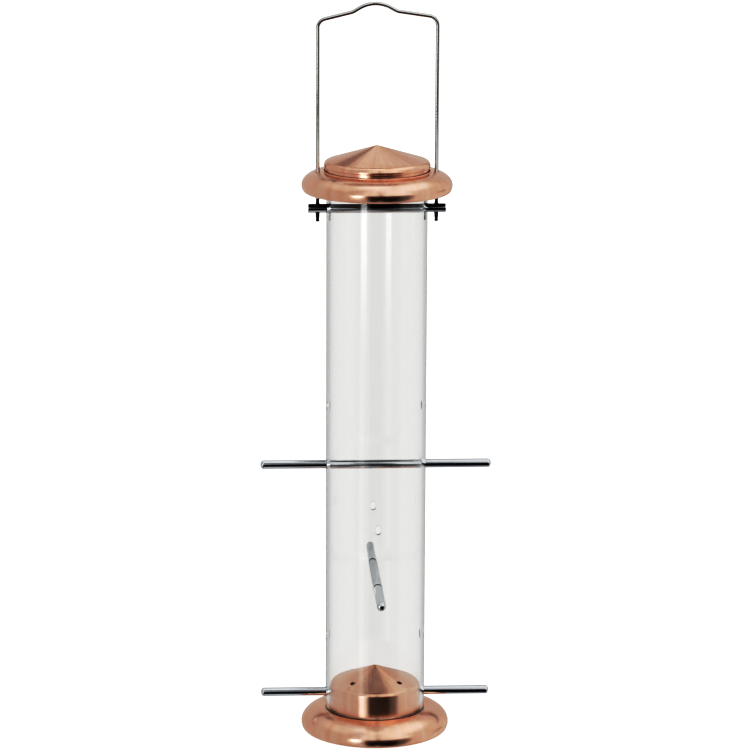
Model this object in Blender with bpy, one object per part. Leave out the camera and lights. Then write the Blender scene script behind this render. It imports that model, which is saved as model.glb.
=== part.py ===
"""Hanging tube bird feeder: a clear seed tube between a spun copper lid and a spun copper base.

Units are metres and +Z is up. The origin is on the surface that the base stands on, under the middle
of the tube. The handle, the crossbar and two of the perches lie in the XZ plane.
"""

import math

import bmesh
import bpy
from mathutils import Matrix, Vector

# ---- Driving dimensions -----------------------------------------------------------------------
CLEARANCE = 0.0003          # gap left between pieces that touch on the real feeder
SHEET = 0.0007              # thickness of the spun copper sheet

DISC_RADIUS = 0.0447        # widest radius of the lid's brim and of the base's tray
DISC_RIM_DROP = 0.0042      # height of the widest circle above the turned-under edge
DISC_EDGE_RADIUS = 0.0425   # radius where the turned-under edge lies flat
HEM_WIDTH = 0.0020          # flat ring of the turned-under edge

TRAY_HEIGHT = 0.0134        # top of the tray, where cup and tube stand
TRAY_LAND_RADIUS = 0.0310   # outer radius of the flat land under the tube
COLLAR_HEIGHT = 0.0040      # upturned collar of the tray, inside the cup

TUBE_RADIUS = 0.0300
TUBE_WALL = 0.0022
TUBE_BOTTOM = TRAY_HEIGHT + CLEARANCE
TUBE_TOP = 0.3456

CUP_RADIUS = TUBE_RADIUS - TUBE_WALL - CLEARANCE
CUP_SHOULDER_HEIGHT = 0.0268  # top of the cup's straight wall
CUP_SHOULDER_RADIUS = 0.0030  # rounding between that wall and the cone
CUP_TIP_HEIGHT = 0.03945
DRAIN_HOLE_RADIUS = 0.0015
DRAIN_HOLE_CIRCLE = 0.0196  # radius of the circle that the drain holes lie on

PERCH_RADIUS = 0.0027
PERCH_LENGTH = 0.1387
PERCH_DOME = 0.0018         # depth of the domed end
BASE_PERCH_HEIGHT = 0.0226
MIDDLE_PERCH_HEIGHT = 0.0956
UPPER_PERCH_HEIGHT = 0.1650

PORT_WIDTH = 0.0034
PORT_HEIGHT = 0.0056
PORT_RISE = 0.0360          # from a perch's axis up to the middle of its feeding slot

CROSSBAR_HEIGHT = 0.3207
CROSSBAR_LENGTH = 0.0816
CROSSBAR_CHAMFER = 0.0004

WIRE_RADIUS = 0.0012
LEG_OFFSET = 0.0351         # from the tube's axis to each leg of the handle
LEG_END = 0.3129            # lower end of the legs, under the crossbar
LEFT_CORNER = (-LEG_OFFSET, 0.4319)
LEFT_BEND = (-0.0146, 0.4369)
CREST = (-0.0016, 0.4450)   # where the two ramps of the hump would meet
RIGHT_BEND = (0.0116, 0.4373)
RIGHT_CORNER = (LEG_OFFSET, 0.4338)
CORNER_BEND_RADIUS = 0.0055
SHALLOW_BEND_RADIUS = 0.0080
CREST_BEND_RADIUS = 0.0184
CRIMP_IN_PLANE = 0.0010     # half width of a crimp across the squeezed sides
CRIMP_ACROSS = 0.0019       # half width of a crimp along the crossbar's front to back

BRIM_EDGE_HEIGHT = 0.3308   # lowest edge of the lid
BRIM_TOP_HEIGHT = 0.3430    # where the brim meets the neck of the cap
BRIM_HOLE_RADIUS = 0.0016   # holes that the handle's legs pass through
BRIM_FOLD = 0.0006          # upturned fold of the brim around the neck
NECK_WALL = 0.0005
NECK_RADIUS = TUBE_RADIUS + CLEARANCE + NECK_WALL
NECK_BOTTOM = 0.3345
CAP_LIP_RADIUS = 0.0316
CAP_LIP_BOTTOM = 0.3456
CAP_LIP_FOLD = 0.0004       # radius of the folded edge under the cone
CAP_SHOULDER_HEIGHT = 0.3464
CAP_SHOULDER_RADIUS = 0.0033
CAP_TIP_HEIGHT = 0.3585
TIP_ROUNDING = 0.0016       # radius of the small rounded nib on each cone

RING_SEGMENTS = 48
ROD_SEGMENTS = 16
HOLE_SEGMENTS = 24
MERGE_DISTANCE = 0.00001
SMOOTH_ANGLE = math.radians(35.0)


# ---- Materials --------------------------------------------------------------------------------
def surface(name, colour, metallic, roughness, alpha=1.0):
    """Return a Principled material."""
    material = bpy.data.materials.new(name)
    material.use_nodes = True
    shader = material.node_tree.nodes["Principled BSDF"]
    shader.inputs["Base Color"].default_value = (*colour, 1.0)
    shader.inputs["Metallic"].default_value = metallic
    shader.inputs["Roughness"].default_value = roughness
    shader.inputs["Alpha"].default_value = alpha
    material.diffuse_color = (*colour, alpha)
    return material


# ---- Building blocks --------------------------------------------------------------------------
def place(name, mesh, material):
    """Turn a bmesh into a named, smooth-shaded object."""
    bmesh.ops.remove_doubles(mesh, verts=mesh.verts, dist=MERGE_DISTANCE)
    bmesh.ops.recalc_face_normals(mesh, faces=mesh.faces)
    data = bpy.data.meshes.new(name)
    mesh.to_mesh(data)
    mesh.free()
    data.shade_smooth()
    data.set_sharp_from_angle(angle=SMOOTH_ANGLE)
    piece = bpy.data.objects.new(name, data)
    bpy.context.scene.collection.objects.link(piece)
    if material is not None:
        data.materials.append(material)
    return piece


def turned(name, outline, material, segments=RING_SEGMENTS):
    """Spin an outline of (radius, height) points around Z.

    An outline that starts and ends on the axis stays open there; any other is closed to a ring.
    """
    mesh = bmesh.new()
    points = [mesh.verts.new((radius, 0.0, height)) for radius, height in outline]
    edges = [mesh.edges.new(pair) for pair in zip(points[:-1], points[1:])]
    if outline[0][0] > 0.0:
        edges.append(mesh.edges.new((points[-1], points[0])))
    bmesh.ops.spin(
        mesh,
        geom=points + edges,
        cent=(0.0, 0.0, 0.0),
        axis=(0.0, 0.0, 1.0),
        angle=2.0 * math.pi,
        steps=segments,
        use_merge=True,
    )
    return place(name, mesh, material)


def arc(centre, radii, start, end, steps):
    """Return points on an ellipse's arc, both ends included; angles are in degrees."""
    points = []
    for step in range(steps + 1):
        angle = math.radians(start + (end - start) * step / steps)
        points.append((centre[0] + radii[0] * math.cos(angle), centre[1] + radii[1] * math.sin(angle)))
    return points


def cut(target, cutters):
    """Subtract a bmesh of closed cutting bodies from a piece with an exact Boolean."""
    tool = place(target.name + "_cutter", cutters, None)
    tool.hide_render = True
    tool.display_type = "WIRE"
    modifier = target.modifiers.new("holes", "BOOLEAN")
    modifier.operation = "DIFFERENCE"
    modifier.solver = "EXACT"
    modifier.object = tool


def add_drill(mesh, radius, length, centre, direction):
    """Add a cylinder to a bmesh of cutters, centred on a point and lying along a direction."""
    turn = Vector(direction).to_track_quat("Z", "Y").to_matrix().to_4x4()
    bmesh.ops.create_cone(
        mesh,
        cap_ends=True,
        segments=HOLE_SEGMENTS,
        radius1=radius,
        radius2=radius,
        depth=length,
        matrix=Matrix.Translation(centre) @ turn,
    )


def add_slot_punch(mesh, centre, direction):
    """Add a punch for one feeding slot: an upright slot with round ends, cut along a direction."""
    half_turn_step = Matrix.Rotation(math.pi / HOLE_SEGMENTS, 4, "Z")
    made = bmesh.ops.create_cone(
        mesh,
        cap_ends=True,
        segments=HOLE_SEGMENTS,
        radius1=PORT_WIDTH / 2.0,
        radius2=PORT_WIDTH / 2.0,
        depth=TUBE_RADIUS / 2.0,
        matrix=half_turn_step,
    )
    stretch = (PORT_HEIGHT - PORT_WIDTH) / 2.0
    for vertex in made["verts"]:
        vertex.co.y += math.copysign(stretch, vertex.co.y)
    upright = Vector(direction).to_track_quat("Z", "Y").to_matrix().to_4x4()
    bmesh.ops.transform(mesh, matrix=Matrix.Translation(centre) @ upright, verts=made["verts"])


# ---- Spun copper discs: the lid's brim and the base's tray ------------------------------------
def disc_outline(inner_radius, top, edge, inner_end, inner_start):
    """Return the closed outline of a domed disc whose outer edge is turned under.

    inner_end and inner_start close the outline at the middle: the outer face's first points and
    the inner face's last points.
    """
    widest = edge + DISC_RIM_DROP
    across = DISC_RADIUS - inner_radius
    curl = DISC_RADIUS - DISC_EDGE_RADIUS
    outer = arc((inner_radius, widest), (across, top - widest), 90.0, 0.0, 8)
    outer += arc((DISC_EDGE_RADIUS, widest), (curl, DISC_RIM_DROP), 0.0, -90.0, 4)[1:]
    hem = [
        (DISC_EDGE_RADIUS - HEM_WIDTH, edge),
        (DISC_EDGE_RADIUS - HEM_WIDTH, edge + SHEET),
    ]
    inner = arc((DISC_EDGE_RADIUS, widest), (curl - SHEET, DISC_RIM_DROP - SHEET), -90.0, 0.0, 3)
    inner += arc((inner_radius, widest), (across - SHEET, top - widest - SHEET), 0.0, 90.0, 6)[1:]
    return inner_end + outer + hem + inner + inner_start


def cone_outline(radius, shoulder_height, shoulder_radius, tip_height, bore):
    """Return the outer and inner outlines of a thin cone with a rounded tip and a rounded shoulder.

    The outer one runs from the tip to the shoulder's widest point, at the given radius and height.
    The inner one starts under the shoulder, at the radius of the bore below it, and ends on the axis.
    """
    tip = tip_height - TIP_ROUNDING
    run, fall = radius - shoulder_radius, tip - shoulder_height
    slope = math.atan2(fall, run) + math.asin((TIP_ROUNDING - shoulder_radius) / math.hypot(run, fall))
    lean = 90.0 - math.degrees(slope)
    outer = arc((0.0, tip), (TIP_ROUNDING, TIP_ROUNDING), 90.0, lean, 2)
    outer[0] = (0.0, tip_height)
    outer += arc((run, shoulder_height), (shoulder_radius, shoulder_radius), lean, 0.0, 6)
    inside = shoulder_radius - SHEET
    start = math.degrees(math.acos(min(1.0, (bore - run) / inside)))
    inner = arc((run, shoulder_height), (inside, inside), start, lean, 4)
    inner.append((0.0, tip + (TIP_ROUNDING - SHEET) / math.cos(slope)))
    return outer, inner


def base_tray(copper):
    """Domed tray under the tube, with a collar that centres the cup."""
    collar = CUP_RADIUS - SHEET - CLEARANCE
    collar_top = TRAY_HEIGHT + COLLAR_HEIGHT
    inner_end = [
        (collar - SHEET, collar_top),
        (collar, collar_top),
        (collar, TRAY_HEIGHT),
    ]
    inner_start = [(collar - SHEET, TRAY_HEIGHT - SHEET)]
    outline = disc_outline(TRAY_LAND_RADIUS, TRAY_HEIGHT, 0.0, inner_end, inner_start)
    return turned("base_tray", outline, copper)


def base_cup(copper):
    """Cup that plugs the tube's lower end: a straight wall under a cone that sheds the seed."""
    bore = CUP_RADIUS - SHEET
    outer, inner = cone_outline(
        CUP_RADIUS, CUP_SHOULDER_HEIGHT, CUP_SHOULDER_RADIUS, CUP_TIP_HEIGHT, bore
    )
    outline = outer + [(CUP_RADIUS, TUBE_BOTTOM), (bore, TUBE_BOTTOM)] + inner
    cup = turned("base_cup", outline, copper)
    cutters = bmesh.new()
    add_drill(
        cutters,
        PERCH_RADIUS + CLEARANCE,
        3.0 * CUP_RADIUS,
        (0.0, 0.0, BASE_PERCH_HEIGHT),
        (1.0, 0.0, 0.0),
    )
    for quarter in range(4):
        angle = math.radians(45.0 + 90.0 * quarter)
        spot = (DRAIN_HOLE_CIRCLE * math.cos(angle), DRAIN_HOLE_CIRCLE * math.sin(angle), 0.030)
        add_drill(cutters, DRAIN_HOLE_RADIUS, 0.012, spot, (0.0, 0.0, 1.0))
    cut(cup, cutters)
    return cup


def lid_brim(copper):
    """Domed brim of the lid, with a hole for each leg of the handle."""
    bore = NECK_RADIUS + CLEARANCE
    fold_top = BRIM_TOP_HEIGHT + BRIM_FOLD
    inner_end = [(bore, fold_top), (bore + SHEET, fold_top)]
    inner_start = [(bore, BRIM_TOP_HEIGHT - SHEET)]
    outline = disc_outline(bore + SHEET, BRIM_TOP_HEIGHT, BRIM_EDGE_HEIGHT, inner_end, inner_start)
    brim = turned("lid_brim", outline, copper)
    cutters = bmesh.new()
    for side in (-1.0, 1.0):
        spot = (side * LEG_OFFSET, 0.0, BRIM_TOP_HEIGHT)
        add_drill(cutters, BRIM_HOLE_RADIUS, 0.012, spot, (0.0, 0.0, 1.0))
    cut(brim, cutters)
    return brim


def lid_cap(copper):
    """Cone on top of the lid, over a neck that slips outside the tube's upper end."""
    bore = TUBE_RADIUS + CLEARANCE
    outer, inner = cone_outline(
        CAP_LIP_RADIUS, CAP_SHOULDER_HEIGHT, CAP_SHOULDER_RADIUS, CAP_TIP_HEIGHT, bore
    )
    fold = CAP_LIP_FOLD
    outline = outer
    outline += arc((CAP_LIP_RADIUS - fold, CAP_LIP_BOTTOM + fold), (fold, fold), 0.0, -90.0, 3)
    outline += [(NECK_RADIUS, CAP_LIP_BOTTOM), (NECK_RADIUS, NECK_BOTTOM), (bore, NECK_BOTTOM)]
    outline += inner
    return turned("lid_cap", outline, copper)


# ---- Clear tube -------------------------------------------------------------------------------
def seed_tube(clear):
    """Clear tube, drilled for the crossbar and the perches and punched with six feeding slots."""
    inner = TUBE_RADIUS - TUBE_WALL
    outline = [
        (inner, TUBE_TOP),
        (TUBE_RADIUS, TUBE_TOP),
        (TUBE_RADIUS, TUBE_BOTTOM),
        (inner, TUBE_BOTTOM),
    ]
    tube = turned("seed_tube", outline, clear)
    along_x = (1.0, 0.0, 0.0)
    along_y = (0.0, 1.0, 0.0)
    cutters = bmesh.new()
    drilled = (
        (CROSSBAR_HEIGHT, along_x),
        (UPPER_PERCH_HEIGHT, along_x),
        (MIDDLE_PERCH_HEIGHT, along_y),
        (BASE_PERCH_HEIGHT, along_x),
    )
    for height, direction in drilled:
        add_drill(cutters, PERCH_RADIUS + CLEARANCE, 3.0 * TUBE_RADIUS, (0.0, 0.0, height), direction)
    for height, direction in drilled[1:]:
        for side in (-1.0, 1.0):
            outward = side * Vector(direction)
            spot = outward * TUBE_RADIUS + Vector((0.0, 0.0, height + PORT_RISE))
            add_slot_punch(cutters, spot, outward)
    cut(tube, cutters)
    return tube


# ---- Rods -------------------------------------------------------------------------------------
def perch(name, height, yaw, chrome):
    """Solid rod with domed ends, lying level through the tube's axis."""
    straight = PERCH_LENGTH / 2.0 - PERCH_DOME
    upper = arc((0.0, straight), (PERCH_RADIUS, PERCH_DOME), 90.0, 0.0, 4)
    lower = arc((0.0, -straight), (PERCH_RADIUS, PERCH_DOME), 0.0, -90.0, 4)
    upper[0] = (0.0, straight + PERCH_DOME)
    lower[-1] = (0.0, -straight - PERCH_DOME)
    rod = turned(name, upper + lower, chrome, ROD_SEGMENTS)
    rod.rotation_euler = (0.0, math.pi / 2.0, yaw)
    rod.location = (0.0, 0.0, height)
    return rod


def crossbar(chrome):
    """Rod through the tube's upper end, cross-drilled near each end for a leg of the handle."""
    half = CROSSBAR_LENGTH / 2.0
    outline = [
        (0.0, half),
        (PERCH_RADIUS - CROSSBAR_CHAMFER, half),
        (PERCH_RADIUS, half - CROSSBAR_CHAMFER),
        (PERCH_RADIUS, CROSSBAR_CHAMFER - half),
        (PERCH_RADIUS - CROSSBAR_CHAMFER, -half),
        (0.0, -half),
    ]
    bar = turned("crossbar", outline, chrome, ROD_SEGMENTS)
    bar.rotation_euler = (0.0, math.pi / 2.0, 0.0)
    bar.location = (0.0, 0.0, CROSSBAR_HEIGHT)
    cutters = bmesh.new()
    for side in (-1.0, 1.0):
        spot = (side * LEG_OFFSET, 0.0, CROSSBAR_HEIGHT)
        add_drill(cutters, WIRE_RADIUS + CLEARANCE, 4.0 * PERCH_RADIUS, spot, (0.0, 0.0, 1.0))
    cut(bar, cutters)
    return bar


# ---- Handle -----------------------------------------------------------------------------------
def bend(before, corner, after, radius, step_degrees=12.0):
    """Return the arc that rounds one corner of a path in the XZ plane."""
    corner = Vector(corner)
    arriving = (corner - Vector(before)).normalized()
    leaving = (Vector(after) - corner).normalized()
    turn = arriving.angle_signed(leaving)
    reach = radius * math.tan(abs(turn) / 2.0)
    start = corner - arriving * reach
    side = Vector((-arriving.y, arriving.x)) * (-1.0 if turn > 0.0 else 1.0)
    centre = start + side * radius
    steps = max(2, round(abs(math.degrees(turn)) / step_degrees))
    points = []
    for step in range(steps + 1):
        spoke = start - centre
        spoke.rotate(Matrix.Rotation(-turn * step / steps, 2))
        points.append(centre + spoke)
    return points


def leg_stations(offset):
    """Return one leg from its end upwards: (point, half width in the plane, half width across)."""
    bar_top = CROSSBAR_HEIGHT + PERCH_RADIUS
    full = (WIRE_RADIUS, WIRE_RADIUS)
    crimp = (CRIMP_IN_PLANE, CRIMP_ACROSS)
    rounded = (0.6 * WIRE_RADIUS, 0.6 * WIRE_RADIUS)
    profile = (
        (LEG_END, rounded),
        (LEG_END + 0.0004, full),
        (LEG_END + 0.0010, crimp),
        (LEG_END + 0.0022, crimp),
        (LEG_END + 0.0029, full),
        (bar_top + 0.0004, full),
        (bar_top + 0.0010, crimp),
        (bar_top + 0.0024, crimp),
        (bar_top + 0.0031, full),
    )
    return [(Vector((offset, height)), *widths) for height, widths in profile]


def handle_wire(chrome):
    """Bent wire handle: two legs, sloping shoulders and a hump that sits on a hook."""
    corners = [
        (-LEG_OFFSET, LEG_END),
        LEFT_CORNER,
        LEFT_BEND,
        CREST,
        RIGHT_BEND,
        RIGHT_CORNER,
        (LEG_OFFSET, LEG_END),
    ]
    radii = [
        CORNER_BEND_RADIUS,
        SHALLOW_BEND_RADIUS,
        CREST_BEND_RADIUS,
        SHALLOW_BEND_RADIUS,
        CORNER_BEND_RADIUS,
    ]
    stations = leg_stations(-LEG_OFFSET)
    for index, radius in enumerate(radii):
        points = bend(corners[index], corners[index + 1], corners[index + 2], radius)
        stations += [(point, WIRE_RADIUS, WIRE_RADIUS) for point in points]
    stations += reversed(leg_stations(LEG_OFFSET))

    mesh = bmesh.new()
    rings = []
    for index, (point, in_plane, across) in enumerate(stations):
        earlier = stations[max(index - 1, 0)][0]
        later = stations[min(index + 1, len(stations) - 1)][0]
        along = (later - earlier).normalized()
        normal = Vector((-along.y, 0.0, along.x))
        ring = []
        for side in range(ROD_SEGMENTS):
            angle = 2.0 * math.pi * side / ROD_SEGMENTS
            spot = Vector((point.x, 0.0, point.y)) + normal * in_plane * math.cos(angle)
            spot.y += across * math.sin(angle)
            ring.append(mesh.verts.new(spot))
        rings.append(ring)
    for ring, following in zip(rings[:-1], rings[1:]):
        for side in range(ROD_SEGMENTS):
            beside = (side + 1) % ROD_SEGMENTS
            mesh.faces.new((ring[side], ring[beside], following[beside], following[side]))
    mesh.faces.new(rings[0])
    mesh.faces.new(rings[-1])
    return place("handle_wire", mesh, chrome)


# ---- Assembly ---------------------------------------------------------------------------------
def main():
    """Build the feeder."""
    for item in list(bpy.data.objects):
        bpy.data.objects.remove(item, do_unlink=True)

    copper = surface("satin_copper", (0.80, 0.44, 0.29), 1.0, 0.30)
    chrome = surface("chrome_plated_steel", (0.70, 0.71, 0.73), 1.0, 0.10)
    clear = surface("clear_polycarbonate", (0.86, 0.88, 0.86), 0.0, 0.05, 0.30)

    base_tray(copper)
    base_cup(copper)
    seed_tube(clear)
    perch("base_perch", BASE_PERCH_HEIGHT, 0.0, chrome)
    perch("middle_perch", MIDDLE_PERCH_HEIGHT, math.pi / 2.0, chrome)
    perch("upper_perch", UPPER_PERCH_HEIGHT, 0.0, chrome)
    crossbar(chrome)
    handle_wire(chrome)

    lift = bpy.data.objects.new("lid_lift_axis", None)
    lift.location = (0.0, 0.0, BRIM_TOP_HEIGHT)
    bpy.context.scene.collection.objects.link(lift)
    for piece in (lid_brim(copper), lid_cap(copper)):
        piece.parent = lift
        piece.location.z = -BRIM_TOP_HEIGHT


main()
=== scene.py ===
"""Looks of a hanging tube bird feeder: spun copper lid and base, clear seed tube, chrome rods and wire.

Every length is in metres unless its name ends in _mm. The origin is on the surface under the middle of
the tube, +Z is up, and the handle, the crossbar and two of the perches lie in the XZ plane.
"""

from __future__ import annotations

import logging
import math
from dataclasses import dataclass
from enum import Enum
from typing import Any, Callable, Sequence

import bmesh
import bpy
from mathutils import Matrix, Vector


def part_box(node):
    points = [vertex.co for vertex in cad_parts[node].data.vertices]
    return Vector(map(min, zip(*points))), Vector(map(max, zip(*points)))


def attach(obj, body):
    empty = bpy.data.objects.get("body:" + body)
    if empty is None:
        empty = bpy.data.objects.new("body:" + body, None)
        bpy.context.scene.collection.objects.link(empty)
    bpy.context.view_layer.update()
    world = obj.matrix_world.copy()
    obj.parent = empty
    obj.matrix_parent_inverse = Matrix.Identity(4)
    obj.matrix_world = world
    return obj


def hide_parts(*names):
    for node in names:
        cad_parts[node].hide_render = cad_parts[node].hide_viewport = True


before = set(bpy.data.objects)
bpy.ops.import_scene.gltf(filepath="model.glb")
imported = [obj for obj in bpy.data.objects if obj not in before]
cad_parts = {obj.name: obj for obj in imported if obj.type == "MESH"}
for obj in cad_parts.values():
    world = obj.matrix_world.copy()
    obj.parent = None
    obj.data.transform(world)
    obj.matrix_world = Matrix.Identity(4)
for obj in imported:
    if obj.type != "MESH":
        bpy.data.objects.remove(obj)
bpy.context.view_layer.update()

LOG = logging.getLogger("feeder")
MM = 0.001
GAP = 0.0003         # left between pieces that touch on the real feeder
WIRE_RADIUS = 0.0012
ALONG_X, ALONG_Y, ALONG_Z = (1.0, 0.0, 0.0), (0.0, 1.0, 0.0), (0.0, 0.0, 1.0)
SIDES = (-1.0, 1.0)
Point = tuple[float, float]
Station = tuple[Vector, float, float]   # point of the wire, half width in its plane, half width across
Piece = bpy.types.Object
Material = bpy.types.Material
Tree = bpy.types.NodeTree
Mesh = bmesh.types.BMesh


class Axis(Enum):
    """Axes of the shared frame."""

    X = 0
    Z = 2


def span(node: str, axis: Axis) -> Point:
    """Read how far a CAD node reaches along one axis.

    Args:
        node: name of the node.
        axis: the axis.

    Returns:
        Its lowest and highest coordinate.
    """
    low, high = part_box(node)
    return low[axis.value], high[axis.value]


def middle_height(node: str) -> float:
    """Read the height of a CAD node's middle."""
    return sum(span(node, Axis.Z)) / 2.0


LEG_OFFSET = span("handle_wire", Axis.X)[1] - WIRE_RADIUS  # from the tube's axis to each leg
TUBE_FOOT, TUBE_TOP = span("seed_tube", Axis.Z)


class Body(Enum):
    """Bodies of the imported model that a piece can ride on."""

    FEEDER = "feeder"
    LID = "lid"
    BASE_PERCH = "base_perch"


class Slot(Enum):
    """Material slots of the record."""

    TUBE = "clear_tube"
    COPPER = "copper"
    ROD = "chrome_rod"
    WIRE = "chrome_wire"


class Lay(Enum):
    """Which way a rod lies: its turn about Z from the X axis."""

    LEFT_TO_RIGHT = 0.0
    FRONT_TO_BACK = math.pi / 2.0


# ---- Colour and nodes -------------------------------------------------------------------------
def linear(code: str, alpha: float = 1.0) -> tuple[float, float, float, float]:
    """Turn an sRGB hex colour into linear values.

    Args:
        code: six hex digits, such as "D98C5F".
        alpha: opacity to append.

    Returns:
        Linear red, green and blue, and alpha.
    """
    channels = []
    for start in (0, 2, 4):
        value = int(code[start : start + 2], 16) / 255.0
        channels.append(value / 12.92 if value <= 0.04045 else ((value + 0.055) / 1.055) ** 2.4)
    return (channels[0], channels[1], channels[2], alpha)


def add_node(
    tree: Tree,
    kind: str,
    inputs: dict[Any, Any] | None = None,
    **settings: Any,
) -> bpy.types.Node:
    """Add one node with its settings, socket values and links.

    Args:
        tree: node tree to add to.
        kind: node type without its "ShaderNode" prefix.
        inputs: socket name or index to a value, or to the socket or node that feeds it; a node feeds it
            from its first output.
        settings: properties of the node itself.

    Returns:
        The new node.
    """
    node = tree.nodes.new("ShaderNode" + kind)
    for name, value in settings.items():
        setattr(node, name, value)
    for key, value in (inputs or {}).items():
        if isinstance(value, bpy.types.Node):
            value = value.outputs[0]
        if isinstance(value, bpy.types.NodeSocket):
            tree.links.new(value, node.inputs[key])
        else:
            node.inputs[key].default_value = value
    return node


# ---- Finishes ---------------------------------------------------------------------------------
@dataclass(frozen=True)
class Finish:
    """What every finish shares: a name, and one shader fed by the finish's own patterns."""

    name: str

    def make(self) -> Material:
        """Make the material.

        Returns:
            The material, ready to put on a piece.
        """
        material = bpy.data.materials.new(self.name)
        material.use_nodes = True
        tree = material.node_tree
        tree.nodes.clear()
        shader = add_node(tree, "BsdfPrincipled", self.surface(tree))
        add_node(tree, "OutputMaterial", {"Surface": shader})
        return material

    def surface(self, tree: Tree) -> dict[str, Any]:
        """Draw the patterns; each finish has its own.

        Args:
            tree: the material's node tree.

        Returns:
            Values, sockets and nodes for the shader's inputs.
        """
        raise NotImplementedError


@dataclass(frozen=True)
class DieLines:
    """Faint straight lines that a die leaves along a drawn or extruded piece.

    Real ones are finer; they are drawn coarser so that they show.
    """

    spacing_mm: float
    depth_mm: float
    strength: float
    raggedness: float = 0.5
    narrowness: float = 0.02    # width of a line over its length

    def draw(self, tree: Tree, place: Any, along: int) -> tuple[Any, Any]:
        """Draw the lines.

        Args:
            tree: the material's node tree.
            place: feeds a place on the piece in metres.
            along: which of its coordinates runs along the piece.

        Returns:
            Nodes with the lines' height from 0 to 1, and with the normal that they give.
        """
        scale = [1.0 / (self.spacing_mm * MM)] * 3
        scale[along] *= self.narrowness
        space = add_node(tree, "Mapping", {"Vector": place, "Scale": scale})
        height = add_node(
            tree,
            "TexNoise",
            {"Vector": space, "Scale": 1.0, "Detail": 2.0, "Roughness": self.raggedness},
        )
        relief = {"Height": height, "Strength": self.strength, "Distance": self.depth_mm * MM}
        return height, add_node(tree, "Bump", relief)


@dataclass(frozen=True)
class SpunCopper(Finish):
    """Copper sheet spun over a former, satin brushed on the lathe and lacquered.

    The lathe leaves fine rings round the axis, so a light draws out into a fan across them. That gives
    the eye soft rays from the tip of a cone and soft bands along a rim, with no sharp reflection.
    """

    name: str = "copper_spun_satin_lacquered"
    base: str = "FBD9C8"
    deep: str = "F0BEA3"
    roughness: float = 0.24
    anisotropy: float = 0.64
    ring_mm: float = 0.45       # real brush marks are near 0.1 mm; drawn coarser so that they show
    patch_mm: float = 18.0      # size of the faint tone patches in the lacquer
    ring_depth_mm: float = 0.012

    def surface(self, tree: Tree) -> dict[str, Any]:
        """Draw the lathe's rings round the piece's own Z axis, the lacquer's patches, and painted
        reflection rays.

        Args:
            tree: the material's node tree.

        Returns:
            Values, sockets and nodes for the shader's inputs.
        """
        place = add_node(tree, "TexCoord").outputs["Object"]
        parts = add_node(tree, "SeparateXYZ", {0: place}).outputs
        flat = add_node(tree, "CombineXYZ", {0: parts[0], 1: parts[1]})
        radius = add_node(tree, "VectorMath", {0: flat}, operation="LENGTH").outputs["Value"]
        around = add_node(tree, "VectorMath", {0: flat}, operation="NORMALIZE")
        turn = add_node(tree, "SeparateXYZ", {0: around}).outputs

        per_metre = 1.0 / (self.ring_mm * MM)
        across = add_node(tree, "Math", {0: radius, 1: per_metre}, operation="MULTIPLY")
        up = add_node(tree, "Math", {0: parts[2], 1: per_metre}, operation="MULTIPLY")
        ring_space = add_node(tree, "CombineXYZ", {0: across, 1: up, 2: turn[0]})
        rings = add_node(
            tree,
            "TexNoise",
            {"Vector": ring_space, "W": turn[1], "Scale": 1.0, "Detail": 2.0, "Roughness": 0.6},
            noise_dimensions="4D",
        )
        patches = {"Vector": place, "Scale": 1.0 / (self.patch_mm * MM), "Detail": 3.0, "Roughness": 0.55}
        # Painted reflection: the rays darken sectors running out from the axis, placed at random, in
        # place of the fans of light that the lathe's rings draw out.
        rays = {"Vector": around, "Scale": 9.0, "Detail": 3.0, "Roughness": 0.6}

        # Each pattern moves the tone from the base towards the deep colour by up to its own share; the
        # rays' share is painted reflection.
        patterns = (
            (add_node(tree, "TexNoise", patches), 0.35, 0.70, 0.35),
            (rings, 0.30, 0.70, 0.08),
            (add_node(tree, "TexNoise", rays), 0.35, 0.65, 0.30),
        )
        shade: Any = 0.0
        for pattern, low, high, share in patterns:
            part = add_node(
                tree,
                "MapRange",
                {"Value": pattern, "From Min": low, "From Max": high, "To Min": 0.0, "To Max": share},
            )
            shade = add_node(tree, "Math", {0: shade, 1: part}, operation="ADD", use_clamp=True)
        colour = add_node(
            tree, "Mix", {0: shade, 6: linear(self.base), 7: linear(self.deep)}, data_type="RGBA"
        ).outputs[2]
        low, high = self.roughness - 0.01, self.roughness + 0.02
        rough = {"Value": rings, "From Min": 0.3, "From Max": 0.7, "To Min": low, "To Max": high}
        relief = {"Height": rings, "Strength": 0.05, "Distance": self.ring_depth_mm * MM}
        return {
            "Base Color": colour,
            "Metallic": 1.0,
            "Roughness": add_node(tree, "MapRange", rough),
            "Anisotropic": self.anisotropy,
            "Anisotropic Rotation": 0.25,
            "Tangent": add_node(tree, "Tangent", direction_type="RADIAL", axis="Z"),
            "Normal": add_node(tree, "Bump", relief),
        }


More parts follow.
